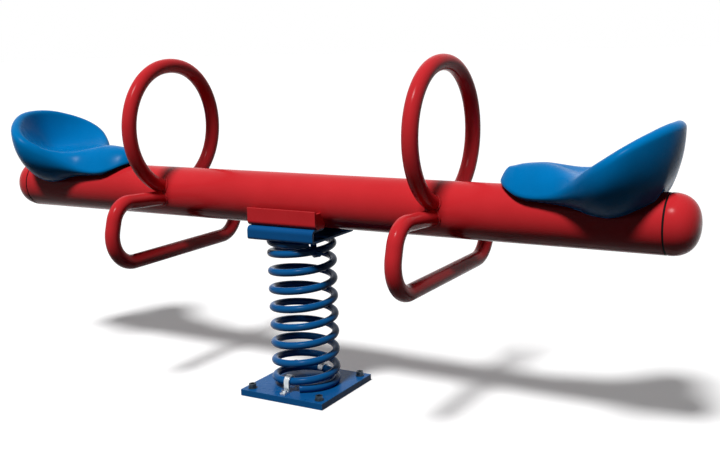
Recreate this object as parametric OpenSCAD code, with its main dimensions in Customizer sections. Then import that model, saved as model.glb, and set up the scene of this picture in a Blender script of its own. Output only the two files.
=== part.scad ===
// Two-seat spring see-saw: a tube beam with two saddle seats, rocking on one coil spring

/* [Beam] */
// Outside diameter of the beam tube
beam_d = 140; // [130:1:150]
// Wall of the beam tube
beam_wall = 4; // [3:0.5:6]
// Length of the beam tube between its end caps
beam_len = 1926; // [1850:1:2100]
// How far the underside of the beam dips below the top of the spring head
beam_dip = 9.3; // [5:0.1:12]
// Length of the dome of an end cap
cap_len = 69; // [50:1:90]
// Wall of an end cap
cap_wall = 4; // [3:0.5:6]
// Length of the spigot that an end cap pushes into the tube
spigot_len = 36; // [20:1:60]
// Width of the groove between the tube and a cap
seam_w = 4.5; // [2:0.1:6]
// Depth of the groove between the tube and a cap
seam_depth = 2; // [1:0.1:3]

/* [Hand rings and footrests] */
// Distance of the rings and footrests from the middle of the beam
ring_x = 423; // [380:1:460]
// Bend radius of a hand ring's sides, at the middle of its tube
ring_side_r = 170; // [150:1:180]
// Bend radius of a hand ring's flatter top, at the middle of its tube
ring_top_r = 219; // [200:1:260]
// Half the angle that the flatter top takes up
ring_top_turn = 10; // [6:0.5:16]
// Height of a hand ring's top above the beam axis, at the middle of its tube
ring_top = 355.7; // [330:0.1:365]
// Outside diameter of the ring and footrest tubes
rail_d = 40; // [34:0.5:44]
// Wall of the ring and footrest tubes
rail_wall = 3; // [2:0.5:4]
// Distance of a footrest's legs below the beam axis where they leave the beam
leg_drop = 12; // [8:0.5:16]
// Rise of a footrest's legs from the beam to their upper corners
leg_rise = 13.5; // [5:0.5:20]
// Half the width of a footrest at its upper corners
foot_top_w = 247; // [220:1:270]
// Half the width of a footrest at its lower corners
foot_low_w = 297; // [270:1:320]
// Distance of a footrest's tread below the beam axis
foot_drop = 166.5; // [150:1:185]
// Bend radius at the upper corners of a footrest
foot_top_bend = 62; // [45:1:75]
// Bend radius at the lower corners of a footrest
foot_low_bend = 77; // [50:1:80]

/* [Seats] */
// Length of a seat from its nose to its back
seat_len = 416; // [380:1:450]
// Width of a seat's bucket
seat_w = 341; // [310:1:360]
// Height of a seat from its skirts to the top of its back, before the lip is rounded
seat_h = 215; // [190:1:240]
// How far the skirts of a seat hang below the top of the beam
seat_drop = 52; // [40:0.1:56]
// How far the back of a seat reaches past the end of the beam tube
seat_overhang = 28; // [20:0.5:40]
// Radius of the rounded lip of a seat
lip_r = 16; // [12:0.5:18]
// Width of the skirt's edge beside the beam
skirt_w = 10; // [6:0.5:14]
// Thread diameter of the seat bolts
seat_bolt_d = 10; // [8:1:12]
// Length of a threaded insert in a seat
insert_len = 14; // [12:1:20]

/* [Spring] */
// Diameter of the spring wire
wire_d = 20; // [17:0.5:20.5]
// Outside diameter of the spring
spring_od = 188; // [176:1:196]
// Free height between the base plate and the spring head
spring_h = 413.5; // [395:0.5:440]
// Number of turns of the spring
turns = 9; // [8:0.5:9.5]
// Rise of the first closed turn over the wire diameter
closed_gap = 2; // [1.8:0.1:3]
// Direction of the lower wire end, counted from the right-hand seat
start_angle = -57; // [-90:1:0]

/* [Base] */
// Distance from the ground anchors to the edges of the base plate
plate_edge = 23; // [18:0.5:50]
// Thickness of the base plate
plate_t = 17; // [14:0.5:22]
// Distance between the ground anchors
anchor_pitch = 214; // [200:1:270]
// Diameter of an anchor hole
anchor_hole_d = 13; // [12.5:0.1:14]
// Thread diameter of the ground anchors
anchor_d = 12; // [10:1:12]

/* [Clamps] */
// Thickness of a spring clamp's bar
clamp_t = 6; // [4:0.5:7]
// Width of a spring clamp's bar
clamp_w = 15; // [12:0.5:18]
// Length of a spring clamp's foot
clamp_foot = 20; // [18:0.5:22]
// Thread diameter of the clamp bolts
clamp_bolt_d = 8; // [6:1:8]
// Direction of the first lower clamp
low_clamp_angle = -90; // [-100:1:-80]
// Direction of the first upper clamp
top_clamp_angle = -30; // [-45:1:-15]

/* [Head and cradle] */
// Length of the spring head along the beam
head_len = 204; // [190:1:230]
// Width of the spring head across the beam
head_w = 208; // [200:1:230]
// Height of the spring head
head_h = 36.5; // [33:0.5:40]
// Thickness of the folded plates of the head and cradle
fold_t = 6; // [4:0.5:6]
// Outer bend radius where the head and cradle meet
fold_r = 13; // [10:0.5:14]
// Outer bend radius at the foot of the head
head_foot_r = 8; // [7:0.5:10]
// Half the gap between the lips of the head
lip_gap = 50; // [46:0.5:52]
// Length of the cradle along the beam
cradle_len = 212; // [195:1:240]
// Width of the cradle across the beam
cradle_w = 190; // [188:1:194]
// Height of the cradle's cheeks
cradle_h = 47; // [40:0.5:52]
// Thread diameter of the cradle bolts
cradle_bolt_d = 12; // [10:1:12]
// Distance between the cradle bolts along the beam
cradle_pitch_x = 140; // [120:1:150]
// Distance between the cradle bolts across the beam
cradle_pitch_y = 134; // [133:0.5:136]

/* [Hidden] */
$fn = 64;

// Paint and finish colours
frame_red = "#CC2E33";
spring_blue = "#1250A0";
seat_blue = "#0079BF";
zinc = "#C9CED2";
dark_steel = "#3A4650";

// Clearances shared by all pieces
overrun = 1;
weld_gap = 0.2;
seat_gap = 0.3;
channel_gap = 0.95;
thread_gap = 0.1;
hole_gap = 0.5;
fit_gap = 0.2;
hook_gap = 1.3;
rail_step = 0.1;
rail_lap = 1.5;

// Fasteners as shares of their thread diameter
hex_r_share = 0.9;
head_h_share = 0.65;
nut_h_share = 0.85;
washer_r_share = 1;
washer_t_share = 0.2;
thread_end_share = 0.25;

// Heights of the stack from the ground up
head_z = plate_t + spring_h;
rest_z = head_z + head_h;
beam_r = beam_d / 2;
beam_z = rest_z - beam_dip + beam_r;
bore_r = beam_r - beam_wall;

// Spring coil, with the pitch growing evenly over the closed turns at each end
coil_r = (spring_od - wire_d) / 2;
coil_low = plate_t + seat_gap + wire_d / 2;
coil_top = head_z - seat_gap - wire_d / 2;
coil_rise = coil_top - coil_low;
end_turns = (turns - sqrt(turns * turns - 2 * coil_rise / (wire_d + closed_gap))) / 2;
pitch = coil_rise / (turns - end_turns);
rings_per_turn = 24;
wire_sides = 6;
function easy_rise(t) = t < end_turns ? t * t / (2 * end_turns) : t - end_turns / 2;
function coil_z(t) =
    t < turns / 2 ? coil_low + pitch * easy_rise(t) : coil_top - pitch * easy_rise(turns - t);
function coil_angle(t) = start_angle + 360 * t;
function wrap(a) = a - 360 * floor(a / 360);
function low_turn(a) = wrap(a - start_angle) / 360;
function top_turn(a) = turns - wrap(coil_angle(turns) - a) / 360;

// Places of the clamp feet, counted from the spring axis
hook_in = wire_d / 2 + hook_gap;
hook_out = hook_in + clamp_t;
low_bolt_r = coil_r + hook_out + clamp_foot / 2;
top_bolt_r = coil_r - hook_out - clamp_foot / 2;
low_clamps = [low_clamp_angle, low_clamp_angle + 180];
top_clamps = [top_clamp_angle, top_clamp_angle + 180];
low_bolt_share = 0.8;

// Side of the square base plate, which holds the anchors and the clamp feet
clamp_edge = 4;
plate_w = 2 * max(anchor_pitch / 2 + plate_edge, coil_r + hook_out + clamp_foot + clamp_edge);

// Seat frame, with shares of the seat's length, half width and height from nose to back
seat_back_x = beam_len / 2 + seat_overhang;
seat_nose_x = seat_back_x - seat_len;
seat_low = beam_z + beam_r - seat_drop;
seat_stations = 32;
tip_share = 0.0004;
tip_split_share = 0.5;
nose_round_share = 0.21;
back_round_share = 0.36;
width_shares = [0.395, 0.42, 0.445, 0.48, 0.55, 0.705, 0.895, 1.015, 1.035, 0.975, 0.905];
floor_shares = [0.445, 0.475, 0.49, 0.495, 0.475, 0.44, 0.41, 0.4, 0.4, 0.405, 0.41];
rim_shares = [0.285, 0.21, 0.165, 0.17, 0.215, 0.31, 0.44, 0.565, 0.69, 0.8, 0.885];
skirt_shares = [0.075, 0.115, 0.115, 0.105, 0.09, 0.06, 0.015, 0, 0.03, 0.105, 0.18];
spine_shares = [0.06, 0.705];
foot_shares = [0.09, 0.9];
seat_bolt_shares = [0.297, 0.7];
nose_power = 2.2;
back_power = 3.2;
flank_power = 1.5;
skirt_max_share = 0.92;
skirt_edge_share = 0.9;
floor_steps = 7;
lip_steps = 4;
flank_steps = 6;
channel_steps = 7;
insert_r_share = 0.8;
seat_washer_r_share = 1.2;
seat_washer_t_share = 0.6;

// Smooth curve through evenly spaced shares
function pick(list, i) = list[max(0, min(len(list) - 1, i))];
function smooth(a, b, c, d, k) =
    b + k * (c - a + k * (2 * a - 5 * b + 4 * c - d + k * (3 * (b - c) + d - a))) / 2;
function share_at(list, u) =
    let (p = u * (len(list) - 1), i = min(floor(p), len(list) - 2))
    smooth(pick(list, i - 1), list[i], list[i + 1], pick(list, i + 2), p - i);

// Rounding of the nose and the back in plan, from 0 at the tip to 1
function tip_round(u, part) = u >= part ? 1 : sqrt(1 - pow(1 - u / part, 2));
function seat_round(u) =
    u < tip_split_share ? tip_round(u, nose_round_share) : tip_round(1 - u, back_round_share);
function seat_half(u) = seat_w / 2 * share_at(width_shares, u) * seat_round(u);
function seat_level(list, u) = seat_low + seat_h * share_at(list, u);
function seat_x(share) = seat_nose_x + seat_len * share;
function between(ends, u) = ends[0] + (ends[1] - ends[0]) * u;

// Half outline of the seat from its spine: floor, lip, flank, skirt edge and beam channel
channel_r = beam_r + channel_gap;
function channel_half(z) = sqrt(max(0, channel_r * channel_r - pow(z - beam_z, 2)));
function channel_z(y) = beam_z + sqrt(max(0, channel_r * channel_r - y * y));
function half_section(u) =
    let (
        w = seat_half(u),
        zr = seat_level(rim_shares, u),
        zf = seat_level(floor_shares, u),
        zs = seat_level(skirt_shares, u),
        xs = seat_x(between(spine_shares, u)),
        xf = seat_x(between(foot_shares, u)),
        reach = norm([seat_x(u) - xs, w]),
        power = between([nose_power, back_power], u),
        way = [seat_x(u) - xs, w] / reach,
        lip_start = 90 + atan(power * (zr - zf) / reach),
        lip_in = reach - lip_r,
        re = lip_in + lip_r * cos(lip_start),
        ze = zr + lip_r * sin(lip_start),
        half = channel_half(zs),
        ys = min(half + skirt_w, w * skirt_max_share),
        yc = min(half, ys * skirt_edge_share),
        zb = max(zs, channel_z(yc))
    )
    concat(
        [for (i = [0:floor_steps - 1])
            let (k = i / floor_steps)
            [xs + way[0] * re * k, way[1] * re * k, zf + (ze - zf) * pow(k, power)]],
        [for (i = [0:lip_steps - 1])
            let (a = lip_start * (1 - i / lip_steps), r = lip_in + lip_r * cos(a))
            [xs + way[0] * r, way[1] * r, zr + lip_r * sin(a)]],
        [for (i = [0:flank_steps])
            let (a = 90 * i / flank_steps, c = pow(cos(a), flank_power))
            [xf + (seat_x(u) - xf) * c, ys + (w - ys) * c, zr - (zr - zb) * sin(a)]],
        [for (i = [0:channel_steps])
            let (y = channel_r * sin(asin(yc / channel_r) * (1 - i / channel_steps)))
            [xf, y, max(zb, channel_z(y))]]
    );
function full_section(u) =
    let (h = half_section(u), n = len(h))
    concat(h, [for (i = [n - 2:-1:1]) [h[i][0], -h[i][1], h[i][2]]]);

// Stations that bunch up towards the nose and the back
function station(i) = (1 - cos(180 * i / seat_stations)) / 2;
seat_shares = concat([tip_share], [for (i = [1:seat_stations - 1]) station(i)], [1 - tip_share]);

// Skin between equal rings of points, and two ways to close its ends: a fan, or a seam across the ring
function side_faces(rings, n) =
    [for (i = [0:rings - 2]) for (j = [0:n - 1])
        let (a = i * n + j, b = i * n + (j + 1) % n)
        each [[a, b, a + n], [b, b + n, a + n]]];
function fan_faces(tip, start, n) = [for (j = [0:n - 1]) [tip, start + (j + 1) % n, start + j]];
function seam_faces(start, n) =
    [for (j = [0:n / 2 - 1])
        let (a = start + j, c = start + n - j - 1, d = start + (n - j) % n)
        each concat(a + 1 == c ? [] : [[a, c, a + 1]], a == d ? [] : [[a, d, c]])];
function turned(faces) = [for (f = faces) [f[0], f[2], f[1]]];

// Corner of a folded plate, a quarter ring with its corner at the origin
module fold_corner(r) {
    intersection() {
        translate([r, r])
            difference() {
                circle(r);
                circle(r - fold_t);
            }
        square(r);
    }
}

module hex_bolt(d, length) {
    cylinder(h = d * head_h_share, r = d * hex_r_share, $fn = 6);
    translate([0, 0, -length])
        cylinder(h = length + d * head_h_share / 2, d = d);
}

module hex_nut(d, bore) {
    difference() {
        cylinder(h = d * nut_h_share, r = d * hex_r_share, $fn = 6);
        translate([0, 0, -overrun])
            cylinder(h = d * nut_h_share + 2 * overrun, d = bore);
    }
}

module washer(d, bore) {
    difference() {
        cylinder(h = d * washer_t_share, r = d * washer_r_share);
        translate([0, 0, -overrun])
            cylinder(h = d * washer_t_share + 2 * overrun, d = bore);
    }
}

// The four places of a rectangular bolt pattern
module at_corners(px, py, z) {
    for (sx = [-1, 1])
        for (sy = [-1, 1])
            translate([sx * px / 2, sy * py / 2, z])
                children();
}

// A vertical profile of radius and height, cut to a bar and turned about the spring axis
module radial_bar(angle, width) {
    rotate([0, 0, angle])
        rotate([90, 0, 0])
            linear_extrude(height = width, center = true)
                children();
}

// A profile across the beam, extruded along it
module along_beam(length) {
    rotate([90, 0, 90])
        linear_extrude(height = length, center = true)
            children();
}

module beam_bar(r, length) {
    translate([0, 0, beam_z])
        rotate([0, 90, 0])
            cylinder(h = length, r = r, center = true);
}

module base_plate() {
    color(spring_blue)
        difference() {
            translate([-plate_w / 2, -plate_w / 2, 0])
                cube([plate_w, plate_w, plate_t]);
            at_corners(anchor_pitch, anchor_pitch, -overrun)
                cylinder(h = plate_t + 2 * overrun, d = anchor_hole_d);
            for (a = low_clamps)
                rotate([0, 0, a])
                    translate([low_bolt_r, 0, plate_t * (1 - low_bolt_share) - overrun])
                        cylinder(h = plate_t, d = clamp_bolt_d + 2 * thread_gap);
        }
}

module anchor_washers() {
    color(dark_steel)
        at_corners(anchor_pitch, anchor_pitch, plate_t)
            washer(anchor_d, anchor_hole_d);
}

module anchor_nuts() {
    color(dark_steel)
        at_corners(anchor_pitch, anchor_pitch, plate_t + anchor_d * washer_t_share)
            hex_nut(anchor_d, anchor_d);
}

// Half ring of a clamp's hook, over the wire for side 1 and under it for side -1
module hook_arch(level, side) {
    translate([coil_r, level])
        intersection() {
            difference() {
                circle(hook_out);
                circle(hook_in);
            }
            translate([-hook_out, min(0, side * hook_out)])
                square([2 * hook_out, hook_out]);
        }
}

module lower_clamps() {
    color(zinc)
        for (a = low_clamps) {
            level = coil_z(low_turn(a));
            difference() {
                radial_bar(a, clamp_w)
                    union() {
                        hook_arch(level, 1);
                        translate([coil_r + hook_in, plate_t])
                            square([clamp_t, level - plate_t]);
                        translate([coil_r + hook_in, plate_t])
                            square([clamp_t + clamp_foot, clamp_t]);
                    }
                rotate([0, 0, a])
                    translate([low_bolt_r, 0, plate_t - overrun])
                        cylinder(h = clamp_t + 2 * overrun, d = clamp_bolt_d + hole_gap);
            }
        }
}

module lower_clamp_bolts() {
    color(zinc)
        for (a = low_clamps)
            rotate([0, 0, a])
                translate([low_bolt_r, 0, plate_t + clamp_t])
                    hex_bolt(clamp_bolt_d, clamp_t + plate_t * low_bolt_share);
}

// Wire centre, radial direction and tangent at a turn
function wire_axis(t) = [cos(coil_angle(t)), sin(coil_angle(t)), 0];
function wire_mid(t) = coil_r * wire_axis(t) + [0, 0, coil_z(t)];
function wire_slope(t) =
    pitch * min(1, t / end_turns, (turns - t) / end_turns) / (2 * PI * coil_r);
function wire_way(t) =
    let (a = coil_angle(t), d = [-sin(a), cos(a), wire_slope(t)])
    d / norm(d);
wire_rings = round(turns * rings_per_turn);
wire_turns = [for (i = [0:wire_rings]) turns * i / wire_rings];

// Centres of the tube's rings, with a straight run of one wire diameter at each end
wire_path = concat(
    [wire_mid(0) - wire_d * wire_way(0)],
    [for (t = wire_turns) wire_mid(t)],
    [wire_mid(turns) + wire_d * wire_way(turns)]);
wire_frames = concat([0], wire_turns, [turns]);
function wire_ring(i) =
    let (t = wire_frames[i], n = wire_axis(t), b = cross(n, wire_way(t)))
    [for (j = [0:wire_sides - 1])
        let (a = 360 * (j + 0.5) / wire_sides)
        wire_path[i] + wire_d / 2 * (cos(a) * n + sin(a) * b)];
near_turn = round(rings_per_turn / 2);
wire_gap = min([for (i = [0:len(wire_path) - 1 - near_turn])
    for (j = [i + near_turn:min(len(wire_path) - 1, i + 3 * near_turn)])
        norm(wire_path[i] - wire_path[j])]) - wire_d;
echo(least_gap_between_turns = wire_gap);

module spring() {
    rings = len(wire_path);
    points = concat(
        [for (i = [0:rings - 1]) each wire_ring(i)],
        [wire_path[0], wire_path[rings - 1]]);
    color(spring_blue)
        polyhedron(points, concat(
            side_faces(rings, wire_sides),
            fan_faces(rings * wire_sides, 0, wire_sides),
            turned(fan_faces(rings * wire_sides + 1, (rings - 1) * wire_sides, wire_sides))));
}

// Lipped channel across the beam: web below, flanges up, lips turned in over the bends
module head_half() {
    half = head_w / 2;
    square([half - head_foot_r, fold_t]);
    translate([half, 0])
        mirror([1, 0])
            fold_corner(head_foot_r);
    translate([half - fold_t, head_foot_r])
        square([fold_t, head_h - head_foot_r - fold_r]);
    translate([half, head_h])
        mirror([1, 0])
            mirror([0, 1])
                fold_corner(fold_r);
    translate([lip_gap, head_h - fold_t])
        square([half - fold_r - lip_gap, fold_t]);
}

module spring_head() {
    color(spring_blue)
        difference() {
            translate([0, 0, head_z])
                along_beam(head_len) {
                    head_half();
                    mirror([1, 0])
                        head_half();
                }
            for (a = top_clamps)
                rotate([0, 0, a])
                    translate([top_bolt_r, 0, head_z - overrun])
                        cylinder(h = fold_t + 2 * overrun, d = clamp_bolt_d + hole_gap);
            at_corners(cradle_pitch_x, cradle_pitch_y, rest_z - fold_t - overrun)
                cylinder(h = fold_t + 2 * overrun, d = cradle_bolt_d + hole_gap);
        }
}

module upper_clamps() {
    color(spring_blue)
        for (a = top_clamps) {
            level = coil_z(top_turn(a));
            difference() {
                radial_bar(a, clamp_w)
                    union() {
                        hook_arch(level, -1);
                        translate([coil_r - hook_out, level])
                            square([clamp_t, head_z - level]);
                        translate([coil_r - hook_out - clamp_foot, head_z - clamp_t])
                            square([clamp_t + clamp_foot, clamp_t]);
                    }
                rotate([0, 0, a])
                    translate([top_bolt_r, 0, head_z - clamp_t - overrun])
                        cylinder(h = clamp_t + 2 * overrun, d = clamp_bolt_d + hole_gap);
            }
        }
}

module upper_clamp_bolts() {
    length = clamp_t + fold_t + clamp_bolt_d * (nut_h_share + thread_end_share);
    color(zinc)
        for (a = top_clamps)
            rotate([0, 0, a])
                translate([top_bolt_r, 0, head_z - clamp_t])
                    rotate([180, 0, 0])
                        hex_bolt(clamp_bolt_d, length);
}

module upper_clamp_nuts() {
    color(zinc)
        for (a = top_clamps)
            rotate([0, 0, a])
                translate([top_bolt_r, 0, head_z + fold_t])
                    hex_nut(clamp_bolt_d, clamp_bolt_d + 2 * thread_gap);
}

// Folded angle under one side of the beam: foot on the head's lip, cheek upright
module cradle_angle() {
    half = cradle_w / 2;
    color(frame_red)
        difference() {
            translate([0, 0, rest_z])
                along_beam(cradle_len) {
                    translate([lip_gap, 0])
                        square([half - fold_r - lip_gap, fold_t]);
                    translate([half, 0])
                        mirror([1, 0])
                            fold_corner(fold_r);
                    translate([half - fold_t, fold_r])
                        square([fold_t, cradle_h - fold_r]);
                }
            at_corners(cradle_pitch_x, cradle_pitch_y, rest_z - overrun)
                cylinder(h = fold_t + 2 * overrun, d = cradle_bolt_d + hole_gap);
        }
}

module front_cradle_angle() {
    mirror([0, 1, 0])
        cradle_angle();
}

module rear_cradle_angle() {
    cradle_angle();
}

// Shaped plates at both ends of the cradle that carry the tube between the cheeks
module cradle_gussets() {
    inner = cradle_w / 2 - fold_t;
    bend = fold_r - fold_t;
    top = cradle_h - fold_t;
    start = lip_gap / 2;
    color(frame_red)
        for (sx = [-1, 1])
            for (sy = [0, 1])
                translate([sx * (cradle_len - fold_t) / 2, 0, rest_z])
                    mirror([0, sy, 0])
                        difference() {
                            along_beam(fold_t)
                                polygon([[start, fold_t], [inner - bend, fold_t],
                                    [inner, fold_t + bend], [inner, top], [start, top]]);
                            translate([0, 0, -rest_z])
                                beam_bar(beam_r + weld_gap, beam_len);
                        }
}

module cradle_bolts() {
    stack = 2 * fold_t + 2 * cradle_bolt_d * washer_t_share;
    color(zinc)
        at_corners(cradle_pitch_x, cradle_pitch_y, rest_z + fold_t + cradle_bolt_d * washer_t_share)
            hex_bolt(cradle_bolt_d, stack + cradle_bolt_d * (nut_h_share + thread_end_share));
}

module cradle_washers() {
    color(zinc)
        for (z = [rest_z + fold_t, rest_z - fold_t - cradle_bolt_d * washer_t_share])
            at_corners(cradle_pitch_x, cradle_pitch_y, z)
                washer(cradle_bolt_d, cradle_bolt_d + hole_gap);
}

module cradle_nuts() {
    under = cradle_bolt_d * (washer_t_share + nut_h_share);
    color(zinc)
        at_corners(cradle_pitch_x, cradle_pitch_y, rest_z - fold_t - under)
            hex_nut(cradle_bolt_d, cradle_bolt_d + 2 * thread_gap);
}

// The seat bolt places along one side of the beam
module at_seat_bolts(side) {
    for (k = seat_bolt_shares)
        translate([side * (seat_nose_x + k * seat_len), 0, 0])
            children();
}

module beam_tube() {
    color(frame_red)
        difference() {
            beam_bar(beam_r, beam_len);
            beam_bar(bore_r, beam_len + 2 * overrun);
            for (side = [-1, 1])
                at_seat_bolts(side)
                    translate([0, 0, beam_z])
                        cylinder(h = beam_d, d = seat_bolt_d + hole_gap);
        }
}

// Dome of a cap from its rim to its tip, a rounded quarter outline
dome_steps = 14;
dome_power = 2.4;
function dome_outline(r, length) =
    [for (i = [0:dome_steps])
        let (a = 90 * i / dome_steps)
        [r * pow(cos(a), 2 / dome_power), length * pow(sin(a), 2 / dome_power)]];

module end_cap(side) {
    spigot_r = bore_r - fit_gap;
    inner_r = spigot_r - cap_wall;
    color(frame_red)
        translate([side * beam_len / 2, 0, beam_z])
            rotate([0, side * 90, 0])
                difference() {
                    union() {
                        translate([0, 0, seam_w])
                            rotate_extrude()
                                polygon(concat([[0, 0]], dome_outline(beam_r, cap_len - seam_w)));
                        cylinder(h = seam_w + overrun, r = beam_r - seam_depth);
                        translate([0, 0, -spigot_len])
                            cylinder(h = spigot_len + overrun, r = spigot_r);
                    }
                    translate([0, 0, seam_w])
                        rotate_extrude()
                            polygon(concat([[0, 0]], dome_outline(inner_r, cap_len - seam_w - cap_wall)));
                    translate([0, 0, -spigot_len - overrun])
                        cylinder(h = spigot_len + seam_w + 2 * overrun, r = inner_r);
                }
}

module left_end_cap() {
    end_cap(-1);
}

module right_end_cap() {
    end_cap(1);
}

// Section of the ring and footrest tube, drawn in a little for the straight runs
module rail_section(step) {
    difference() {
        circle(d = rail_d - 2 * step);
        circle(d = rail_d - 2 * rail_wall + 2 * step);
    }
}

// A hand ring: one bent tube whose ends are shaped to the beam and the footrest's legs
ring_end_share = 0.6;
ring_top_mid = ring_top - ring_top_r;
ring_side_y = (ring_top_r - ring_side_r) * sin(ring_top_turn);
ring_side_mid = ring_top_mid + (ring_top_r - ring_side_r) * cos(ring_top_turn);
ring_end_turn = asin((ring_end_share * beam_r - ring_side_y) / ring_side_r);
module ring_side() {
    translate([ring_side_y, ring_side_mid])
        rotate([0, 0, ring_end_turn - 90])
            rotate_extrude(angle = 180 - ring_top_turn - ring_end_turn)
                translate([ring_side_r, 0])
                    rail_section(0);
}

module ring_crown() {
    lap = 180 * rail_lap / (PI * ring_top_r);
    translate([0, ring_top_mid])
        rotate([0, 0, 90 - ring_top_turn - lap])
            rotate_extrude(angle = 2 * (ring_top_turn + lap))
                translate([ring_top_r, 0])
                    rail_section(rail_step);
}

module leg_cut() {
    translate(foot_line[0])
        rotate([0, 0, heading(foot_out)])
            rotate([0, 90, 0])
                cylinder(h = foot_top_w, r = rail_d / 2 + weld_gap);
}

module hand_ring(side) {
    color(frame_red)
        difference() {
            translate([side * ring_x, 0, beam_z])
                rotate([90, 0, 90]) {
                    ring_side();
                    ring_crown();
                    mirror([1, 0, 0])
                        ring_side();
                }
            beam_bar(beam_r + weld_gap, beam_len);
            translate([side * ring_x, 0, beam_z])
                rotate([90, 0, 90]) {
                    leg_cut();
                    mirror([1, 0, 0])
                        leg_cut();
                }
        }
}

module left_hand_ring() {
    hand_ring(-1);
}

module right_hand_ring() {
    hand_ring(1);
}

// Corner points of one side of a footrest across the beam, from the beam out, down and in
foot_line = [[beam_r / 2, -leg_drop], [foot_top_w, leg_rise - leg_drop],
    [foot_low_w, -foot_drop], [0, -foot_drop]];
foot_out = unit(foot_line[1] - foot_line[0]);
foot_down = unit(foot_line[2] - foot_line[1]);
foot_in = unit(foot_line[3] - foot_line[2]);
foot_top_turn = acos(foot_out * foot_down);
foot_low_turn = acos(foot_down * foot_in);
foot_top_cut = foot_top_bend * tan(foot_top_turn / 2);
foot_low_cut = foot_low_bend * tan(foot_low_turn / 2);
tread_half = foot_low_w - foot_low_cut;
function unit(v) = v / norm(v);
function heading(v) = atan2(v[1], v[0]);

// A straight run of tube between two points, its ends lapped into the bends
module rail_run(from, to) {
    way = unit(to - from);
    translate(from - rail_lap * way)
        rotate([0, 0, heading(way)])
            rotate([90, 0, 90])
                linear_extrude(height = norm(to - from) + 2 * rail_lap)
                    rail_section(rail_step);
}

// A bend of tube that starts at a point, heading along a direction, and turns clockwise
module rail_bend(from, way, bend, turn) {
    translate(from)
        rotate([0, 0, heading(way)])
            translate([0, -bend])
                rotate([0, 0, 90 - turn])
                    rotate_extrude(angle = turn)
                        translate([bend, 0])
                            rail_section(0);
}

module foot_side() {
    rail_run(foot_line[0], foot_line[1] - foot_top_cut * foot_out);
    rail_bend(foot_line[1] - foot_top_cut * foot_out, foot_out, foot_top_bend, foot_top_turn);
    rail_run(foot_line[1] + foot_top_cut * foot_down, foot_line[2] - foot_low_cut * foot_down);
    rail_bend(foot_line[2] - foot_low_cut * foot_down, foot_down, foot_low_bend, foot_low_turn);
}

// A footrest: one stirrup of tube under the beam, its legs shaped to the beam's sides
module footrest(side) {
    color(frame_red)
        difference() {
            translate([side * ring_x, 0, beam_z])
                rotate([90, 0, 90]) {
                    foot_side();
                    mirror([1, 0, 0])
                        foot_side();
                    rail_run([-tread_half, -foot_drop], [tread_half, -foot_drop]);
                }
            beam_bar(beam_r + weld_gap, beam_len);
        }
}

module left_footrest() {
    footrest(-1);
}

module right_footrest() {
    footrest(1);
}

// The threaded inserts stand just above the beam, inside the seat
insert_z = beam_z + beam_r + 2 * seat_gap;
insert_r = seat_bolt_d * insert_r_share;

// A moulded saddle seat: narrow nose, hollow bucket and skirts beside the beam
module seat() {
    sections = [for (u = seat_shares) full_section(u)];
    n = len(sections[0]);
    rings = len(sections);
    color(seat_blue)
        difference() {
            polyhedron([for (ring = sections) each ring], concat(
                side_faces(rings, n),
                seam_faces(0, n),
                turned(seam_faces((rings - 1) * n, n))));
            at_seat_bolts(1)
                translate([0, 0, beam_z])
                    cylinder(h = insert_z + insert_len + fit_gap - beam_z, r = insert_r + fit_gap);
        }
}

module left_seat() {
    mirror([1, 0, 0])
        seat();
}

module right_seat() {
    seat();
}

// Seat bolts stand inside the tube, reached through its open ends when the caps are off
seat_washer_t = seat_bolt_d * seat_washer_t_share;
seat_head_z = beam_z + bore_r - seat_washer_t;
seat_bolt_len = insert_z + insert_len - thread_end_share * seat_bolt_d - seat_head_z;
module seat_bolts(side) {
    color(zinc)
        at_seat_bolts(side)
            translate([0, 0, seat_head_z])
                rotate([180, 0, 0])
                    hex_bolt(seat_bolt_d, seat_bolt_len);
}

module left_seat_bolts() {
    seat_bolts(-1);
}

module right_seat_bolts() {
    seat_bolts(1);
}

// Saddle washers, flat below and curved above to the inside of the tube
module seat_washers(side) {
    color(zinc)
        intersection() {
            at_seat_bolts(side)
                translate([0, 0, seat_head_z])
                    difference() {
                        cylinder(h = beam_d, r = seat_bolt_d * seat_washer_r_share);
                        translate([0, 0, -overrun])
                            cylinder(h = beam_d, d = seat_bolt_d + hole_gap);
                    }
            beam_bar(bore_r - fit_gap, beam_len);
        }
}

module left_seat_washers() {
    seat_washers(-1);
}

module right_seat_washers() {
    seat_washers(1);
}

module seat_inserts(side) {
    color(zinc)
        at_seat_bolts(side)
            translate([0, 0, insert_z])
                difference() {
                    cylinder(h = insert_len, r = insert_r);
                    translate([0, 0, -overrun])
                        cylinder(h = insert_len + 2 * overrun, d = seat_bolt_d + 2 * thread_gap);
                }
}

module left_seat_inserts() {
    seat_inserts(-1);
}

module right_seat_inserts() {
    seat_inserts(1);
}

base_plate();
anchor_washers();
anchor_nuts();
lower_clamps();
lower_clamp_bolts();
spring();
spring_head();
upper_clamps();
upper_clamp_bolts();
upper_clamp_nuts();
front_cradle_angle();
rear_cradle_angle();
cradle_gussets();
cradle_bolts();
cradle_washers();
cradle_nuts();
beam_tube();
left_end_cap();
right_end_cap();
left_hand_ring();
right_hand_ring();
left_footrest();
right_footrest();
left_seat();
right_seat();
left_seat_bolts();
right_seat_bolts();
left_seat_washers();
right_seat_washers();
left_seat_inserts();
right_seat_inserts();
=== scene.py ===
import math
import bpy
import numpy as np
from mathutils import Matrix


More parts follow.
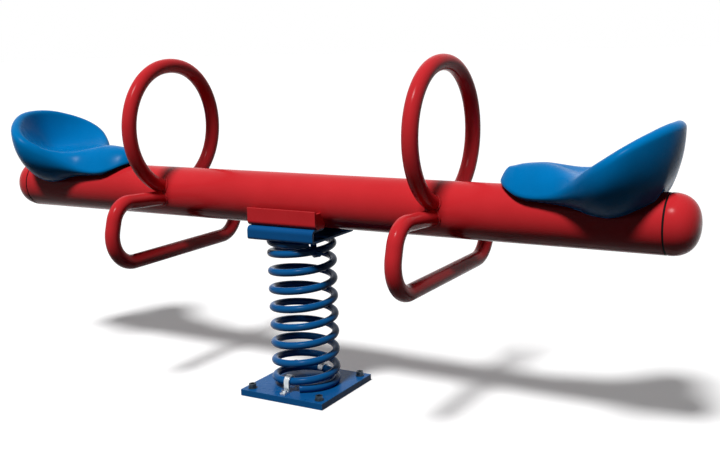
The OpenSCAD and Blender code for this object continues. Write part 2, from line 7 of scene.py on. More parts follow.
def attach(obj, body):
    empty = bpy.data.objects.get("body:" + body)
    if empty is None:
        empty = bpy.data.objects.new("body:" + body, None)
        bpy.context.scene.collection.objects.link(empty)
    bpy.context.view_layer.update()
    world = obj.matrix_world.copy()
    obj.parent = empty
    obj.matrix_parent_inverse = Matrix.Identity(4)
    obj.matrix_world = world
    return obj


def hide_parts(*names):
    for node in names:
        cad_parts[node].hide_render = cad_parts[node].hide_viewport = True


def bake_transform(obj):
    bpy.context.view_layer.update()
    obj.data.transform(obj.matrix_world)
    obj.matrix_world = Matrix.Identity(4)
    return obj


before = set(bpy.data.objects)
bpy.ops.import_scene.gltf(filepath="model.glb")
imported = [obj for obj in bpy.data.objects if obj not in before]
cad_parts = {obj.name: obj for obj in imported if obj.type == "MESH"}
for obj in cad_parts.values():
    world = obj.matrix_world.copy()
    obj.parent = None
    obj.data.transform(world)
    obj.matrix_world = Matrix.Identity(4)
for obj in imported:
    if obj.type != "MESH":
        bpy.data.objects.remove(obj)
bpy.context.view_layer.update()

scene = bpy.context.scene
scene.view_settings.view_transform = "Standard"
mm = 0.001
tau = 2 * math.pi
ends = ((-1, "left"), (1, "right"))  # sign of x, and the word in names
print("frame loaded:", len(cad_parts), "nodes")


# sRGB hex code to a linear colour: straight near black, and a power of 2.4 above that
def toLinear(code):
    c = np.array([int(code[i:i + 2], 16) for i in (1, 3, 5)]) / 255
    c = np.where(c <= 0.04045, c / 12.92, ((c + 0.055) / 1.055) ** 2.4)
    return (*c.tolist(), 1.0)


# A node with its settings, values and links. It gives back the named output, or else the node
def addNode(tree, kind, inputs=None, result=None, **settings):
    item = tree.nodes.new(kind)
    for key, value in settings.items():
        setattr(item, key, value)
    for key, value in (inputs or {}).items():
        if isinstance(value, bpy.types.NodeSocket):
            tree.links.new(value, item.inputs[key])
        else:
            item.inputs[key].default_value = value
    return item.outputs[result] if result else item


def newMaterial(name):
    mat = bpy.data.materials.new(name)
    mat.use_nodes = True
    mat.node_tree.nodes.clear()
    return mat, mat.node_tree


# Edges rounded in the shading, and a mask that is 1 where the rounding turns the surface
def edgeMask(tree, radius):
    soft = addNode(tree, "ShaderNodeBevel", {"Radius": radius}, "Normal", samples=4)
    plain = addNode(tree, "ShaderNodeNewGeometry", result="Normal")
    turn = addNode(tree, "ShaderNodeVectorMath", {0: soft, 1: plain}, "Value", operation="DOT_PRODUCT")
    edge = {"Value": turn, "From Min": 0.999, "From Max": 0.85}
    return soft, addNode(tree, "ShaderNodeMapRange", edge, "Result")


# Powder coat on steel: sprayed dry and baked, so an even colour, a faint orange peel and a soft sheen
def powderCoat(name, colours, gloss, edgeRadius=None):
    mat, tree = newMaterial(name)
    place = addNode(tree, "ShaderNodeTexCoord", result="Object")
    main, deep, pale = [toLinear(c) for c in colours]
    size = {"film": 140, "peel": 3, "grain": 0.7, "rub": 42, "wear": 17}  # mm, peel and grain show close up
    detail = {"film": 3.0, "peel": 1.5, "grain": 1.0, "rub": 4.0, "wear": 3.0}
    film, peel, grain, rub, wear = [
        addNode(tree, "ShaderNodeTexNoise",
                {"Vector": place, "Scale": 1 / (size[n] * mm), "Detail": detail[n]}, "Fac") for n in detail]
    film = addNode(tree, "ShaderNodeMapRange",
                   {"Value": film, "From Min": 0.35, "From Max": 0.65, "To Max": 0.55}, "Result")
    grain = addNode(tree, "ShaderNodeMapRange",
                    {"Value": grain, "From Min": 0.62, "From Max": 0.75, "To Max": 0.18}, "Result")
    rough = addNode(tree, "ShaderNodeMapRange", {"Value": rub, "From Min": 0.3, "From Max": 0.7,
                                                 "To Min": gloss[0], "To Max": gloss[1]}, "Result")
    layers = [(film, deep), (grain, pale)]
    bump = {"Strength": 0.35, "Distance": 0.06 * mm, "Height": peel}
    if edgeRadius:  # the coat is thinner on edges, in patches
        bump["Normal"], edge = edgeMask(tree, edgeRadius)
        worn = addNode(tree, "ShaderNodeMath", {0: edge, 1: wear}, "Value", operation="MULTIPLY")
        layers.append((worn, pale))
    colour = main
    for share, other in layers:
        colour = addNode(tree, "ShaderNodeMix", {"Factor": share, "A": colour, "B": other}, "Result",
                         data_type="RGBA")
    shader = addNode(tree, "ShaderNodeBsdfPrincipled",
                     {"Base Color": colour, "Roughness": rough, "Specular IOR Level": 0.05,
                      "Normal": addNode(tree, "ShaderNodeBump", bump, "Normal")}, "BSDF")
    addNode(tree, "ShaderNodeOutputMaterial", {"Surface": shader})
    return mat


# Rotomoulded polyethylene: waxy and dull, with flow marks, a shrink ripple and a fine moulded grain
def mouldedPlastic(name, colours, gloss):
    mat, tree = newMaterial(name)
    place = addNode(tree, "ShaderNodeTexCoord", result="Object")
    main, deep, pale = [toLinear(c) for c in colours]
    size = {"flow": 90, "swirl": 5, "rub": 33, "ripple": 26, "pebble": 2}  # mm, the pebble shows close up
    detail = {"flow": 4.0, "swirl": 2.0, "rub": 5.0, "ripple": 1.0}
    flow, swirl, rub, ripple = [
        addNode(tree, "ShaderNodeTexNoise",
                {"Vector": place, "Scale": 1 / (size[n] * mm), "Detail": detail[n]}, "Fac") for n in detail]
    pebble = addNode(tree, "ShaderNodeTexVoronoi", {"Vector": place, "Scale": 1 / (size["pebble"] * mm)},
                     "Distance", feature="SMOOTH_F1")
    flow = addNode(tree, "ShaderNodeMapRange",
                   {"Value": flow, "From Min": 0.32, "From Max": 0.68, "To Max": 0.6}, "Result")
    swirl = addNode(tree, "ShaderNodeMapRange",
                    {"Value": swirl, "From Min": 0.6, "From Max": 0.78, "To Max": 0.22}, "Result")
    rough = addNode(tree, "ShaderNodeMapRange", {"Value": rub, "From Min": 0.3, "From Max": 0.7,
                                                 "To Min": gloss[0], "To Max": gloss[1]}, "Result")
    colour = main
    for share, other in ((flow, deep), (swirl, pale)):
        colour = addNode(tree, "ShaderNodeMix", {"Factor": share, "A": colour, "B": other}, "Result",
                         data_type="RGBA")
    wave = addNode(tree, "ShaderNodeBump",
                   {"Strength": 0.4, "Distance": 0.5 * mm, "Height": ripple}, "Normal")
    wave = addNode(tree, "ShaderNodeBump",
                   {"Strength": 0.22, "Distance": 0.12 * mm, "Height": pebble, "Normal": wave}, "Normal")
    shader = addNode(tree, "ShaderNodeBsdfPrincipled",
                     {"Base Color": colour, "Roughness": rough, "Specular IOR Level": 0.03,
                      "Normal": wave}, "BSDF")
    addNode(tree, "ShaderNodeOutputMaterial", {"Surface": shader})
    return mat


# Bare or plated steel: crystals of the plating in slightly different greys, pale rubbed edges
def bareMetal(name, colours, gloss, spangle):
    mat, tree = newMaterial(name)
    place = addNode(tree, "ShaderNodeTexCoord", result="Object")
    main, deep, pale = [toLinear(c) for c in colours]
    size = {"stain": 11, "rub": 4, "scratch": 1.4, "edge": 0.8}  # mm, the scratches show close up
    detail = {"stain": 4.0, "rub": 3.0, "scratch": 3.0}
    stain, rub, scratch = [
        addNode(tree, "ShaderNodeTexNoise",
                {"Vector": place, "Scale": 1 / (size[n] * mm), "Detail": detail[n]}, "Fac") for n in detail]
    cell = addNode(tree, "ShaderNodeTexVoronoi", {"Vector": place, "Scale": 1 / (spangle * mm)}, "Color")
    cell = addNode(tree, "ShaderNodeSeparateColor", {"Color": cell}, "Red")
    soft, edge = edgeMask(tree, size["edge"] * mm)
    cell = addNode(tree, "ShaderNodeMapRange", {"Value": cell, "To Max": 0.5}, "Result")
    stain = addNode(tree, "ShaderNodeMapRange",
                    {"Value": stain, "From Min": 0.45, "From Max": 0.7, "To Max": 0.6}, "Result")
    edge = addNode(tree, "ShaderNodeMapRange", {"Value": edge, "To Max": 0.5}, "Result")
    rough = addNode(tree, "ShaderNodeMapRange", {"Value": rub, "From Min": 0.3, "From Max": 0.7,
                                                 "To Min": gloss[0], "To Max": gloss[1]}, "Result")
    colour = main
    for share, other in ((cell, deep), (stain, pale), (edge, pale)):
        colour = addNode(tree, "ShaderNodeMix", {"Factor": share, "A": colour, "B": other}, "Result",
                         data_type="RGBA")
    normal = addNode(tree, "ShaderNodeBump",
                     {"Strength": 0.25, "Distance": 0.04 * mm, "Height": scratch, "Normal": soft}, "Normal")
    shader = addNode(tree, "ShaderNodeBsdfPrincipled",
                     {"Base Color": colour, "Roughness": rough, "Metallic": 1.0, "Normal": normal}, "BSDF")
    addNode(tree, "ShaderNodeOutputMaterial", {"Surface": shader})
    return mat


# Each finish has its main, deep and pale colour, and its least and greatest roughness. Plates have folded or
# cut edges where the coat is thin, the cap's groove is painted near black as shade for the gap, and spangle
# is the width of a crystal in mm
plateEdge = 1.4 * mm
redSteel = powderCoat("powder_coated_steel_red", ("#D22D33", "#C4262B", "#E0555A"), (0.16, 0.24))
redPlate = powderCoat("powder_coated_plate_red", ("#D22D33", "#C4262B", "#E0666A"), (0.24, 0.36),
                      edgeRadius=plateEdge)
blueSteel = powderCoat("powder_coated_spring_steel_blue", ("#0B5792", "#0A4B82", "#3A7CB2"), (0.16, 0.24))
bluePlate = powderCoat("powder_coated_plate_blue", ("#0C5692", "#0B4B84", "#4682B2"), (0.24, 0.34),
                       edgeRadius=plateEdge)
# Painted shade: a near-black dull coat for the cap's groove, standing in for the shadow in the gap at the
# tube
grooveShadePaint = powderCoat("painted_shade_in_cap_groove", ("#1B1617", "#120F10", "#33282A"), (0.60, 0.75))
bluePlastic = mouldedPlastic("rotomoulded_polyethylene_blue", ("#007AC0", "#0070B0", "#2090D0"),
                             (0.22, 0.32))
zincSteel = bareMetal("zinc_plated_steel", ("#C9CED2", "#AEB6BC", "#E2E5E6"), (0.28, 0.45), spangle=2.4)
darkSteel = bareMetal("blackened_steel", ("#3A4650", "#2A333B", "#56626C"), (0.40, 0.58), spangle=3.3)
print("materials made")


# A smooth mesh with its place in its points. Edges that turn more than the sharp angle stay sharp
def addPiece(name, points, faces, mat, sharp):
    mesh = bpy.data.meshes.new(name)
    mesh.from_pydata(points.reshape(-1, 3).tolist(), [], faces)
    mesh.update()
    mesh.shade_smooth()
    mesh.set_sharp_from_angle(angle=math.radians(sharp))
    mesh.materials.append(mat)
    obj = bpy.data.objects.new(name, mesh)
    scene.collection.objects.link(obj)
    return obj


# Quads between neighbouring rings of a grid. Each ring is closed, and in a loop the last meets the first
def gridFaces(rows, cols, loop=False):
    i, j = np.meshgrid(np.arange(rows if loop else rows - 1), np.arange(cols), indexing="ij")
    here, there = i * cols, (i + 1) % rows * cols
    beside = (j + 1) % cols
    return np.stack([here + j, here + beside, there + beside, there + j], -1).reshape(-1, 4)


# Triangles from a tip to each edge of a ring
def fanFaces(cols, ringStart, tip):
    j = np.arange(cols)
    return np.stack([np.full(cols, tip), ringStart + j, ringStart + (j + 1) % cols], -1)


# Grid of rings closed by a fan at each end
def closedSkin(name, grid, tips, mat, flip=False, sharp=50):
    rows, cols = grid.shape[:2]
    points = np.concatenate([grid.reshape(-1, 3), tips])
    first = fanFaces(cols, 0, rows * cols)[:, [0, 2, 1]]
    last = fanFaces(cols, (rows - 1) * cols, rows * cols + 1)
    quads, tris = gridFaces(rows, cols), np.concatenate([first, last])
    if flip:
        quads, tris = quads[:, ::-1], tris[:, ::-1]
    return addPiece(name, points, quads.tolist() + tris.tolist(), mat, sharp)


# Tube: path plus radius times cosine and sine of the angle, along the two directions across the path
def tubeGrid(path, sideways, upward, radius, sides):
    a = tau * np.arange(sides)[None, :, None] / sides
    ring = np.cos(a) * sideways[:, None, :] + np.sin(a) * upward[:, None, :]
    return path[:, None, :] + np.reshape(radius, (-1, 1, 1)) * ring


# Vectors divided by their lengths
def unit(v):
    v = np.asarray(v, float)
    return v / np.linalg.norm(v, axis=-1, keepdims=True)


# Points of a plane across the beam, given as y and z, with their x in front
def inFrame(flat, x):
    return np.concatenate([np.full((len(flat), 1), x), flat], 1)


# Heights from the ground up and the beam's own sizes, in mm
stack = {"plateTop": 17.0, "spring": 413.5, "head": 36.5, "dip": 9.3, "beamR": 70.0, "beamWall": 4.0,
         "beamLen": 1926.0}
headZ = stack["plateTop"] + stack["spring"]
restZ = headZ + stack["head"]
beamR = stack["beamR"]
beamZ = restZ - stack["dip"] + beamR
beamEnd = stack["beamLen"] / 2

# Spring, one wire in two lengths that meet at half height. The overlap is in turns, and the tail is a
# straight sawn end with a broken edge, as mm along the wire and shares of its radius
coil = {"wire": 20.0, "outer": 188.0, "turns": 9.0, "gap": 2.0, "start": -57.0, "seat": 0.3,
        "overlap": 0.012, "tail": ((10.0, 1.0), (18.8, 1.0), (19.7, 0.96), (20.0, 0.88)),
        "ringsPerTurn": 96, "sides": 28}
coilR = (coil["outer"] - coil["wire"]) / 2
coilLow = stack["plateTop"] + coil["seat"] + coil["wire"] / 2
coilTop = headZ - coil["seat"] - coil["wire"] / 2
coilRise = coilTop - coilLow
# The first full turn rises by a wire and a gap, which gives the turns that an end takes to reach full pitch
easeRoot = math.sqrt(coil["turns"] ** 2 - 2 * coilRise / (coil["wire"] + coil["gap"]))
endTurns = (coil["turns"] - easeRoot) / 2
coilPitch = coilRise / (coil["turns"] - endTurns)


# Rise in pitches after t turns: the square of t while the pitch grows, then straight
def easyRise(t):
    return np.where(t < endTurns, t * t / (2 * endTurns), t - endTurns / 2)


# Wire's middle line: a circle about z, with a height that eases in from both ends. Also the directions
# outward and along the wire
def wireAt(t):
    angle = np.radians(coil["start"] + 360 * t)
    out = np.stack([np.cos(angle), np.sin(angle), 0 * t], -1)
    z = np.where(t < coil["turns"] / 2, coilLow + coilPitch * easyRise(t),
                 coilTop - coilPitch * easyRise(coil["turns"] - t))
    slope = coilPitch * np.minimum(1, np.minimum(t, coil["turns"] - t) / endTurns) / (tau * coilR)
    way = unit(np.stack([-np.sin(angle), np.cos(angle), slope], -1))
    mid = coilR * out + np.stack([0 * t, 0 * t, z], -1)
    return mid, out, way


# Length of wire: a tube along the coil, with a straight tail at its start (outer -1) or its end (outer 1)
def springHalf(name, first, last, outer):
    turns = np.linspace(first, last, int((last - first) * coil["ringsPerTurn"]) + 1)
    mid, out, way = [v[::outer] for v in wireAt(turns)]
    step, share = np.array(coil["tail"]).T
    mid = np.concatenate([mid, mid[-1:] + outer * step[:, None] * way[-1:]])
    out, way = [np.concatenate([v, np.repeat(v[-1:], len(step), 0)]) for v in (out, way)]
    radius = coil["wire"] / 2 * np.concatenate([np.ones(len(turns)), share])
    mid, out, way, radius = [v[::outer] for v in (mid, out, way, radius)]
    grid = tubeGrid(mid, out, np.cross(out, way), radius, coil["sides"]) * mm
    return closedSkin(name, grid, mid[[0, -1]] * mm, blueSteel, flip=True)


midTurn = coil["turns"] / 2
lowerSpring = springHalf("spring_lower_turns", 0.0, midTurn + coil["overlap"], -1)
upperSpring = springHalf("spring_upper_turns", midTurn, coil["turns"], 1)
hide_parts("spring")
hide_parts("spring")
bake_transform(lowerSpring)
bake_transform(upperSpring)
print("spring made")

# Seats, the source's sections on a finer grid. Shares run from the nose to the back
saddle = {"len": 416.0, "wide": 341.0, "high": 215.0, "drop": 52.0, "over": 28.0, "lip": 16.0, "skirt": 10.0,
          "noseRound": 0.21, "backRound": 0.36, "bowl": (2.2, 3.2), "flank": 1.5, "gap": 0.95,
          "skirtMax": 0.92, "skirtEdge": 0.9, "spine": (0.06, 0.705), "foot": (0.09, 0.9), "tip": 0.00002,
          "widthShares": (0.395, 0.42, 0.445, 0.48, 0.55, 0.705, 0.895, 1.015, 1.035, 0.975, 0.905),
          "floorShares": (0.445, 0.475, 0.49, 0.495, 0.475, 0.44, 0.41, 0.4, 0.4, 0.405, 0.41),
          "rimShares": (0.285, 0.21, 0.165, 0.17, 0.215, 0.31, 0.44, 0.565, 0.69, 0.8, 0.885),
          "skirtShares": (0.075, 0.115, 0.115, 0.105, 0.09, 0.06, 0.015, 0, 0.03, 0.105, 0.18),
          "steps": {"long": 150, "floor": 40, "lip": 16, "flank": 40, "arch": 14}, "sharp": 62}
seatNose = beamEnd + saddle["over"] - saddle["len"]
seatLow = beamZ + beamR - saddle["drop"]


# Smooth line through evenly spaced shares: a cubic in each stretch, with the slope of the two neighbours
def shareAt(shares, u):
    s = np.array(shares, float)
    p = u * (len(s) - 1)
    i = np.minimum(np.floor(p).astype(int), len(s) - 2)
    k = p - i
    a, b, c, d = [s[np.clip(i + n, 0, len(s) - 1)] for n in (-1, 0, 1, 2)]
    return b + k * (c - a + k * (2 * a - 5 * b + 4 * c - d + k * (3 * (b - c) + d - a))) / 2


# Quarter of an ellipse that rises from 0 to 1 over a part of the length
def tipRound(u, part):
    return np.sqrt(1 - np.clip(1 - u / part, 0, 1) ** 2)


# Seat: half a section at each u along it, then its mirror image. The floor rises from the spine to the lip
# by a power, the lip is an arc, the flank runs in and down by cosine and sine, the arch follows the beam
def seatGrid(side):
    steps = saddle["steps"]
    u = (1 - np.cos(np.pi * np.arange(1, steps["long"]) / steps["long"])) / 2
    u = np.concatenate([[saddle["tip"]], u, [1 - saddle["tip"]]])[:, None]
    soft = np.where(u < 0.5, tipRound(u, saddle["noseRound"]), tipRound(1 - u, saddle["backRound"]))
    rimY = saddle["wide"] / 2 * shareAt(saddle["widthShares"], u) * soft
    floorZ, rimZ, skirtZ = [seatLow + saddle["high"] * shareAt(saddle[n + "Shares"], u)
                            for n in ("floor", "rim", "skirt")]
    spineX, footX, rimX = [seatNose + saddle["len"] * (start + (end - start) * u)
                           for start, end in (saddle["spine"], saddle["foot"], (0, 1))]
    reach = np.hypot(rimX - spineX, rimY)
    wayX, wayY = (rimX - spineX) / reach, rimY / reach
    power = saddle["bowl"][0] + (saddle["bowl"][1] - saddle["bowl"][0]) * u
    lip = saddle["lip"]
    lipStart = np.pi / 2 + np.arctan(power * (rimZ - floorZ) / reach)  # the arc goes on in the floor's slope
    lipZ = rimZ + lip * np.sin(lipStart)
    channel = beamR + saddle["gap"]
    cutY = np.sqrt(np.maximum(0, channel ** 2 - (skirtZ - beamZ) ** 2))
    footY = np.minimum(cutY + saddle["skirt"], rimY * saddle["skirtMax"])
    edgeY = np.minimum(cutY, footY * saddle["skirtEdge"])
    footZ = np.maximum(skirtZ, beamZ + np.sqrt(channel ** 2 - edgeY ** 2))
    k = np.arange(steps["floor"]) / steps["floor"]
    floorR = (reach - lip + lip * np.cos(lipStart)) * k
    turn = lipStart * (1 - np.arange(steps["lip"]) / steps["lip"])
    lipR = reach - lip + lip * np.cos(turn)
    a = np.pi / 2 * np.arange(steps["flank"] + 1) / steps["flank"]
    fall = np.cos(a) ** saddle["flank"]
    archY = channel * np.sin(np.arcsin(edgeY / channel) * (1 - np.arange(steps["arch"] + 1) / steps["arch"]))
    archZ = np.maximum(footZ, beamZ + np.sqrt(channel ** 2 - archY ** 2))
    x = np.concatenate([spineX + wayX * floorR, spineX + wayX * lipR, footX + (rimX - footX) * fall,
                        footX + 0 * archY], 1)
    y = np.concatenate([wayY * floorR, wayY * lipR, footY + (rimY - footY) * fall, archY], 1)
    z = np.concatenate([floorZ + (lipZ - floorZ) * k ** power, rimZ + lip * np.sin(turn),
                        rimZ - (rimZ - footZ) * np.sin(a), archZ], 1)
    x, y, z = [np.concatenate([v, sign * v[:, -2:0:-1]], 1) for v, sign in ((x, 1), (y, -1), (z, 1))]
    return np.stack([side * x, y, z], -1) * mm


# Faces across an end ring: quads between mirrored points, and a triangle at each end of the mirror line
def seamFaces(cols, start):
    j = np.arange(1, cols // 2 - 1)
    h = cols // 2
    quads = np.stack([j, j + 1, cols - j - 1, cols - j], -1)
    return start + quads, start + np.array([[0, 1, cols - 1], [h - 1, h, h + 1]])


# Grid of mirrored rings, closed across its first and last ring
def seamedSkin(name, grid, mat, flip, sharp):
    rows, cols = grid.shape[:2]
    firstQuads, firstTris = seamFaces(cols, 0)
    lastQuads, lastTris = seamFaces(cols, (rows - 1) * cols)
    quads = np.concatenate([gridFaces(rows, cols), firstQuads[:, ::-1], lastQuads])
    tris = np.concatenate([firstTris[:, ::-1], lastTris])
    if flip:
        quads, tris = quads[:, ::-1], tris[:, ::-1]
    return addPiece(name, grid, quads.tolist() + tris.tolist(), mat, sharp)


for side, word in ends:
    seat = seamedSkin(word + "_moulded_seat", seatGrid(side), bluePlastic, side < 0,
                      saddle["sharp"])
    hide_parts(word + "_seat")
    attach(seat, "rocker")
print("seats made")

# End caps, smooth domes with a groove at the tube. The groove is counted in bands of faces, which take a
# near-black coat as painted shade
cap = {"len": 69.0, "seam": 4.5, "seamDepth": 2.0, "spigot": 36.0, "wall": 4.0, "fit": 0.2, "power": 2.4,
       "step": 0.05, "edge": 0.5, "groove": (3, 5), "domeSteps": 60, "domeEnd": 0.985, "sides": 96,
       "sharp": 40}


# Cap: a line of radius and distance turned about the beam's axis. Spigot and groove are straight, and the
# dome is a superellipse, cosine and sine to 2 / power
def capGrid(side):
    a = np.pi / 2 * np.linspace(0, cap["domeEnd"], cap["domeSteps"])
    dome = np.stack([beamR * np.cos(a) ** (2 / cap["power"]),
                     cap["seam"] + (cap["len"] - cap["seam"]) * np.sin(a) ** (2 / cap["power"])], -1)
    spigotR = beamR - stack["beamWall"] - cap["fit"]
    neckR = beamR - cap["seamDepth"]
    lead = np.array([[spigotR - cap["wall"], -cap["spigot"]], [spigotR, -cap["spigot"]], [spigotR, 0],
                     [neckR, cap["step"]], [neckR, cap["seam"]], [beamR - cap["edge"], cap["seam"]]])
    radius, along = np.concatenate([lead, dome[1:]]).T[:, :, None]
    angle = tau * np.arange(cap["sides"]) / cap["sides"]
    x = side * (beamEnd + along) + 0 * angle
    y = radius * np.cos(angle)
    z = beamZ + radius * np.sin(angle)
    tips = np.array([[side * (beamEnd + far), 0, beamZ] for far in (-cap["spigot"], cap["len"])])
    return np.stack([x, y, z], -1) * mm, tips * mm


for side, word in ends:
    grid, tips = capGrid(side)
    dome = closedSkin(word + "_domed_cap", grid, tips, redSteel, side < 0, cap["sharp"])
    # The second material is the painted shade for the groove
    dome.data.materials.append(grooveShadePaint)
    paintedShadeFaces = np.zeros(len(dome.data.polygons), int)
    first, last = [count * cap["sides"] for count in cap["groove"]]
    paintedShadeFaces[first:last] = 1  # painted shade: the groove's faces take the near-black coat in place of the gap's shadow
    dome.data.polygons.foreach_set("material_index", paintedShadeFaces)
    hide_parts(word + "_end_cap")
    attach(dome, "rocker")
print("caps made")

# Hand rings and footrests, one bent tube each
rail = {"x": 423.0, "r": 20.0, "sideR": 170.0, "topR": 219.0, "topTurn": 10.0, "top": 355.7, "endShare": 0.6,
        "legDrop": 12.0, "legRise": 13.5, "topW": 247.0, "lowW": 297.0, "drop": 166.5, "topBend": 62.0,
        "lowBend": 77.0, "sideSteps": 90, "topSteps": 12, "bendSteps": 40, "sides": 48, "sharp": 60}
acrossY = np.array([-1, 1])  # mirrors y and z across the beam


# Ring: a side arc from inside the beam, a wider arc over the top that touches it, and their mirror image.
# Also the directions outward
def ringPath():
    turn = math.radians(rail["topTurn"])
    topMid = rail["top"] - rail["topR"]
    sideY = (rail["topR"] - rail["sideR"]) * math.sin(turn)
    sideMid = topMid + (rail["topR"] - rail["sideR"]) * math.cos(turn)
    endTurn = math.asin((rail["endShare"] * beamR - sideY) / rail["sideR"])
    a = np.linspace(endTurn - math.pi / 2, math.pi / 2 - turn, rail["sideSteps"])
    c = np.linspace(math.pi / 2 - turn, math.pi / 2, rail["topSteps"])[1:]
    y = np.concatenate([sideY + rail["sideR"] * np.cos(a), rail["topR"] * np.cos(c)])
    z = np.concatenate([sideMid + rail["sideR"] * np.sin(a), topMid + rail["topR"] * np.sin(c)])
    n = np.concatenate([a, c])
    line, out = np.stack([y, z], -1), np.stack([np.cos(n), np.sin(n)], -1)
    return [np.concatenate([v, v[-2::-1] * acrossY]) for v in (line, out)]


# Footrest: straight legs with an arc at each corner, and their mirror image. An arc starts its radius times
# the tangent of half its turn before the corner. Also the directions outward
def footPath():
    corner = np.array([[beamR / 2, -rail["legDrop"]], [rail["topW"], rail["legRise"] - rail["legDrop"]],
                       [rail["lowW"], -rail["drop"]], [0, -rail["drop"]]])
    way = unit(np.diff(corner, axis=0))
    up = np.stack([-way[:, 1], way[:, 0]], -1)
    line, out = [corner[:1]], [up[:1]]
    for i, bend in enumerate((rail["topBend"], rail["lowBend"])):
        turn = math.acos(way[i] @ way[i + 1])
        start = corner[i + 1] - bend * math.tan(turn / 2) * way[i]
        a = np.linspace(0, turn, rail["bendSteps"])[:, None]
        out.append(np.cos(a) * up[i] + np.sin(a) * way[i])
        line.append(start + bend * (out[-1] - up[i]))
    return [np.concatenate([v, v[::-1] * acrossY]) for v in (np.concatenate(line), np.concatenate(out))]


# Bent tube: a circle carried along a path across the beam at x
def railPiece(name, path, out, x):
    axis = inFrame(path + [0, beamZ], x)
    along = np.tile([1.0, 0, 0], (len(path), 1))
    grid = tubeGrid(axis, inFrame(out, 0), along, rail["r"], rail["sides"])
    return closedSkin(name, grid * mm, axis[[0, -1]] * mm, redSteel, sharp=rail["sharp"])


# Weld beads, laid where a tube meets the beam. The seam is looked for in the first share of the tube's path
bead = {"r": 3.6, "ripple": 0.13, "step": 3.4, "sides": 12, "points": 220, "search": 0.3, "halvings": 40,
        "sharp": 180}


# Bead: a closed tube along the seam, with a radius that swells by the size of a sine, a wave to each step
def beadPiece(name, path, normal):
    chord = np.roll(path, -1, 0) - np.roll(path, 1, 0)
    run = np.cumsum(np.linalg.norm(chord, axis=1)) / 2
    way = unit(chord)
    normal = unit(normal - (normal * way).sum(1, keepdims=True) * way)
    waves = round(run[-1] / bead["step"])
    swell = bead["r"] * (1 + bead["ripple"] * np.abs(np.sin(np.pi * waves * run / run[-1])))
    grid = tubeGrid(path, normal, np.cross(way, normal), swell, bead["sides"]) * mm
    faces = gridFaces(len(grid), bead["sides"], loop=True)
    return addPiece(name, grid, faces.tolist(), redSteel, bead["sharp"])


# Seam: at each angle round the tube, the place along its path where its skin leaves the beam, found by
# halving. Also the direction between the two skins
def weldLine(path, out, x):
    around = tau * np.arange(bead["points"])[:, None] / bead["points"]
    shares = np.linspace(0, 1, len(path))
    low, high = np.zeros(bead["points"]), np.full(bead["points"], bead["search"])

    def skinAt(k):
        mid, side = [np.stack([np.interp(k, shares, v[:, n]) for n in (0, 1)], -1) for v in (path, out)]
        skin = np.concatenate([np.sin(around), np.cos(around) * side], 1)
        return inFrame(mid, 0) + rail["r"] * skin, skin

    for _ in range(bead["halvings"]):
        k = (low + high) / 2
        far = np.linalg.norm(skinAt(k)[0][:, 1:], axis=1) > beamR
        high, low = np.where(far, k, high), np.where(far, low, k)
    place, skin = skinAt(high)
    return place + [x, 0, beamZ], skin + unit(place * [0, 1, 1])


for side, word in ends:
    x = side * rail["x"]
    for kind, (path, out) in (("hand_ring", ringPath()), ("footrest", footPath())):
        tube = railPiece(word + "_bent_" + kind, path, out, x)
        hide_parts(word + "_" + kind)
        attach(tube, "rocker")
        for face, line, skin in (("rear", path, out), ("front", path[::-1], out[::-1])):
            weld = beadPiece("_".join((word, kind, face, "weld")), *weldLine(line, skin, x))
            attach(weld, "rocker")
print("rings, footrests and welds made")

# Finish of each CAD node
nodeMaterials = {"base_plate": bluePlate, "spring_head": bluePlate, "upper_clamps": bluePlate,
                 "lower_clamps": zincSteel, "lower_clamp_bolts": zincSteel, "upper_clamp_bolts": zincSteel,
                 "upper_clamp_nuts": zincSteel, "cradle_bolts": zincSteel, "cradle_washers": zincSteel,
                 "cradle_nuts": zincSteel, "anchor_washers": darkSteel, "anchor_nuts": darkSteel,
                 "front_cradle_angle": redPlate, "rear_cradle_angle": redPlate, "cradle_gussets": redPlate,
                 "beam_tube": redSteel, "spring": blueSteel}
for side, word in ends:
    nodeMaterials.update({word + "_hand_ring": redSteel, word + "_footrest": redSteel,
                          word + "_end_cap": redSteel, word + "_seat": bluePlastic,
                          word + "_seat_bolts": zincSteel, word + "_seat_washers": zincSteel,
                          word + "_seat_inserts": zincSteel})
for name, mat in nodeMaterials.items():
    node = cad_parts[name]
    node.data.materials.clear()
    node.data.materials.append(mat)
print("node materials set")

# Floor and world, white to the camera and dark to bounced light. Reach and drop are in m
studio = {"reach": 60.0, "drop": 0.0006, "glow": 0.17, "glowTint": (1, 0.99, 0.995, 1),
          "pale": (0.92, 0.92, 0.92, 1), "dull": (0.015, 0.015, 0.015, 1), "white": (1, 1, 1, 1),
          "sky": 1.0, "softSky": 0.03}


# Mask that is 1 for what the camera sees, also in a mirror or through glass, and 0 for bounced light
def seenMask(tree):
    rays = addNode(tree, "ShaderNodeLightPath").outputs
    seen = addNode(tree, "ShaderNodeMath", {0: rays["Is Camera Ray"], 1: rays["Is Glossy Ray"]}, "Value",
                   operation="ADD")
    return addNode(tree, "ShaderNodeMath", {0: seen, 1: rays["Is Transmission Ray"]}, "Value",
                   operation="ADD", use_clamp=True)


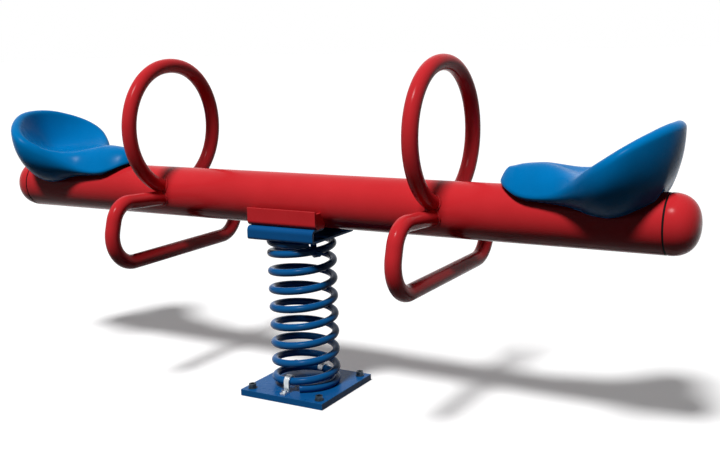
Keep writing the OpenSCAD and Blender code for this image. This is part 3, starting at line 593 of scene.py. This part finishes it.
floorMat, tree = newMaterial("studio_floor")
glow = addNode(tree, "ShaderNodeEmission",
               {"Color": studio["glowTint"], "Strength": studio["glow"]}, "Emission")
pale = addNode(tree, "ShaderNodeBsdfDiffuse", {"Color": studio["pale"]}, "BSDF")
bright = addNode(tree, "ShaderNodeAddShader", {0: glow, 1: pale}, "Shader")
dull = addNode(tree, "ShaderNodeBsdfDiffuse", {"Color": studio["dull"]}, "BSDF")
mix = addNode(tree, "ShaderNodeMixShader", {0: seenMask(tree), 1: dull, 2: bright}, "Shader")
addNode(tree, "ShaderNodeOutputMaterial", {"Surface": mix})
corners = studio["reach"] * np.array([[-1, -1, 0], [1, -1, 0], [1, 1, 0], [-1, 1, 0]])
floorMesh = bpy.data.meshes.new("studio_floor")
floorMesh.from_pydata((corners - [0, 0, studio["drop"]]).tolist(), [], [[0, 1, 2, 3]])
floorMesh.materials.append(floorMat)
floor = bpy.data.objects.new("studio_floor", floorMesh)
scene.collection.objects.link(floor)

world = bpy.data.worlds.new("studio")
scene.world = world
world.use_nodes = True
tree = world.node_tree
tree.nodes.clear()
soft, white = [addNode(tree, "ShaderNodeBackground", {"Color": studio["white"], "Strength": studio[n]},
                       "Background") for n in ("softSky", "sky")]
mix = addNode(tree, "ShaderNodeMixShader", {0: seenMask(tree), 1: soft, 2: white}, "Shader")
addNode(tree, "ShaderNodeOutputWorld", {"Surface": mix})


# Place and turn of an object from its three axes
def axesMatrix(xAxis, yAxis, zAxis, place):
    m = np.eye(4)
    m[:3] = np.stack([xAxis, yAxis, zAxis, place], -1)
    return Matrix(m.tolist())


# Lamps, a key from the front and a weaker one that keeps the far side readable
lamps = {"key_lamp": {"energy": 3.3, "angle": 11.0, "toLamp": (0.0, -0.5, 0.866), "glint": True},
         "rear_lamp": {"energy": 1.2, "angle": 40.0, "toLamp": (-0.495, 0.851, 0.2), "glint": False}}
lampAway = 5.0  # m, out of the way: a sun lights alike from anywhere
for name, given in lamps.items():
    lampData = bpy.data.lights.new(name, "SUN")
    lampData.energy = given["energy"]
    lampData.angle = math.radians(given["angle"])
    lamp = bpy.data.objects.new(name, lampData)
    lamp.visible_glossy = given["glint"]
    scene.collection.objects.link(lamp)
    toLamp = unit(given["toLamp"])
    aside = unit(np.cross((0, 0, 1), toLamp))
    lamp.matrix_world = axesMatrix(aside, np.cross(toLamp, aside), toLamp, lampAway * toLamp)

# Camera of the photograph: focal length and width in pixels, angles in degrees, place and sensor in mm
shot = {"focal": 983.71, "photoWide": 720, "azimuth": 30.18, "elevation": 11.0, "roll": -1.56,
        "place": (1440.46, -2163.1, 938.49), "sensor": 36.0, "clipEnd": 300.0}
azimuth, elevation, roll = [math.radians(shot[n]) for n in ("azimuth", "elevation", "roll")]
flat = math.cos(elevation)
backward = np.array([math.sin(azimuth) * flat, -math.cos(azimuth) * flat, math.sin(elevation)])
level = np.array([math.cos(azimuth), math.sin(azimuth), 0.0])
upright = np.cross(backward, level)
right = level * math.cos(roll) + upright * math.sin(roll)
camData = bpy.data.cameras.new("photo_camera")
camData.sensor_fit = "HORIZONTAL"
camData.sensor_width = shot["sensor"]
camData.lens = shot["focal"] * shot["sensor"] / shot["photoWide"]
camData.clip_end = shot["clipEnd"]
camera = bpy.data.objects.new("photo_camera", camData)
scene.collection.objects.link(camera)
camera.matrix_world = axesMatrix(right, np.cross(backward, right), backward, np.array(shot["place"]) * mm)
scene.camera = camera
print("stage, lamps and camera set")
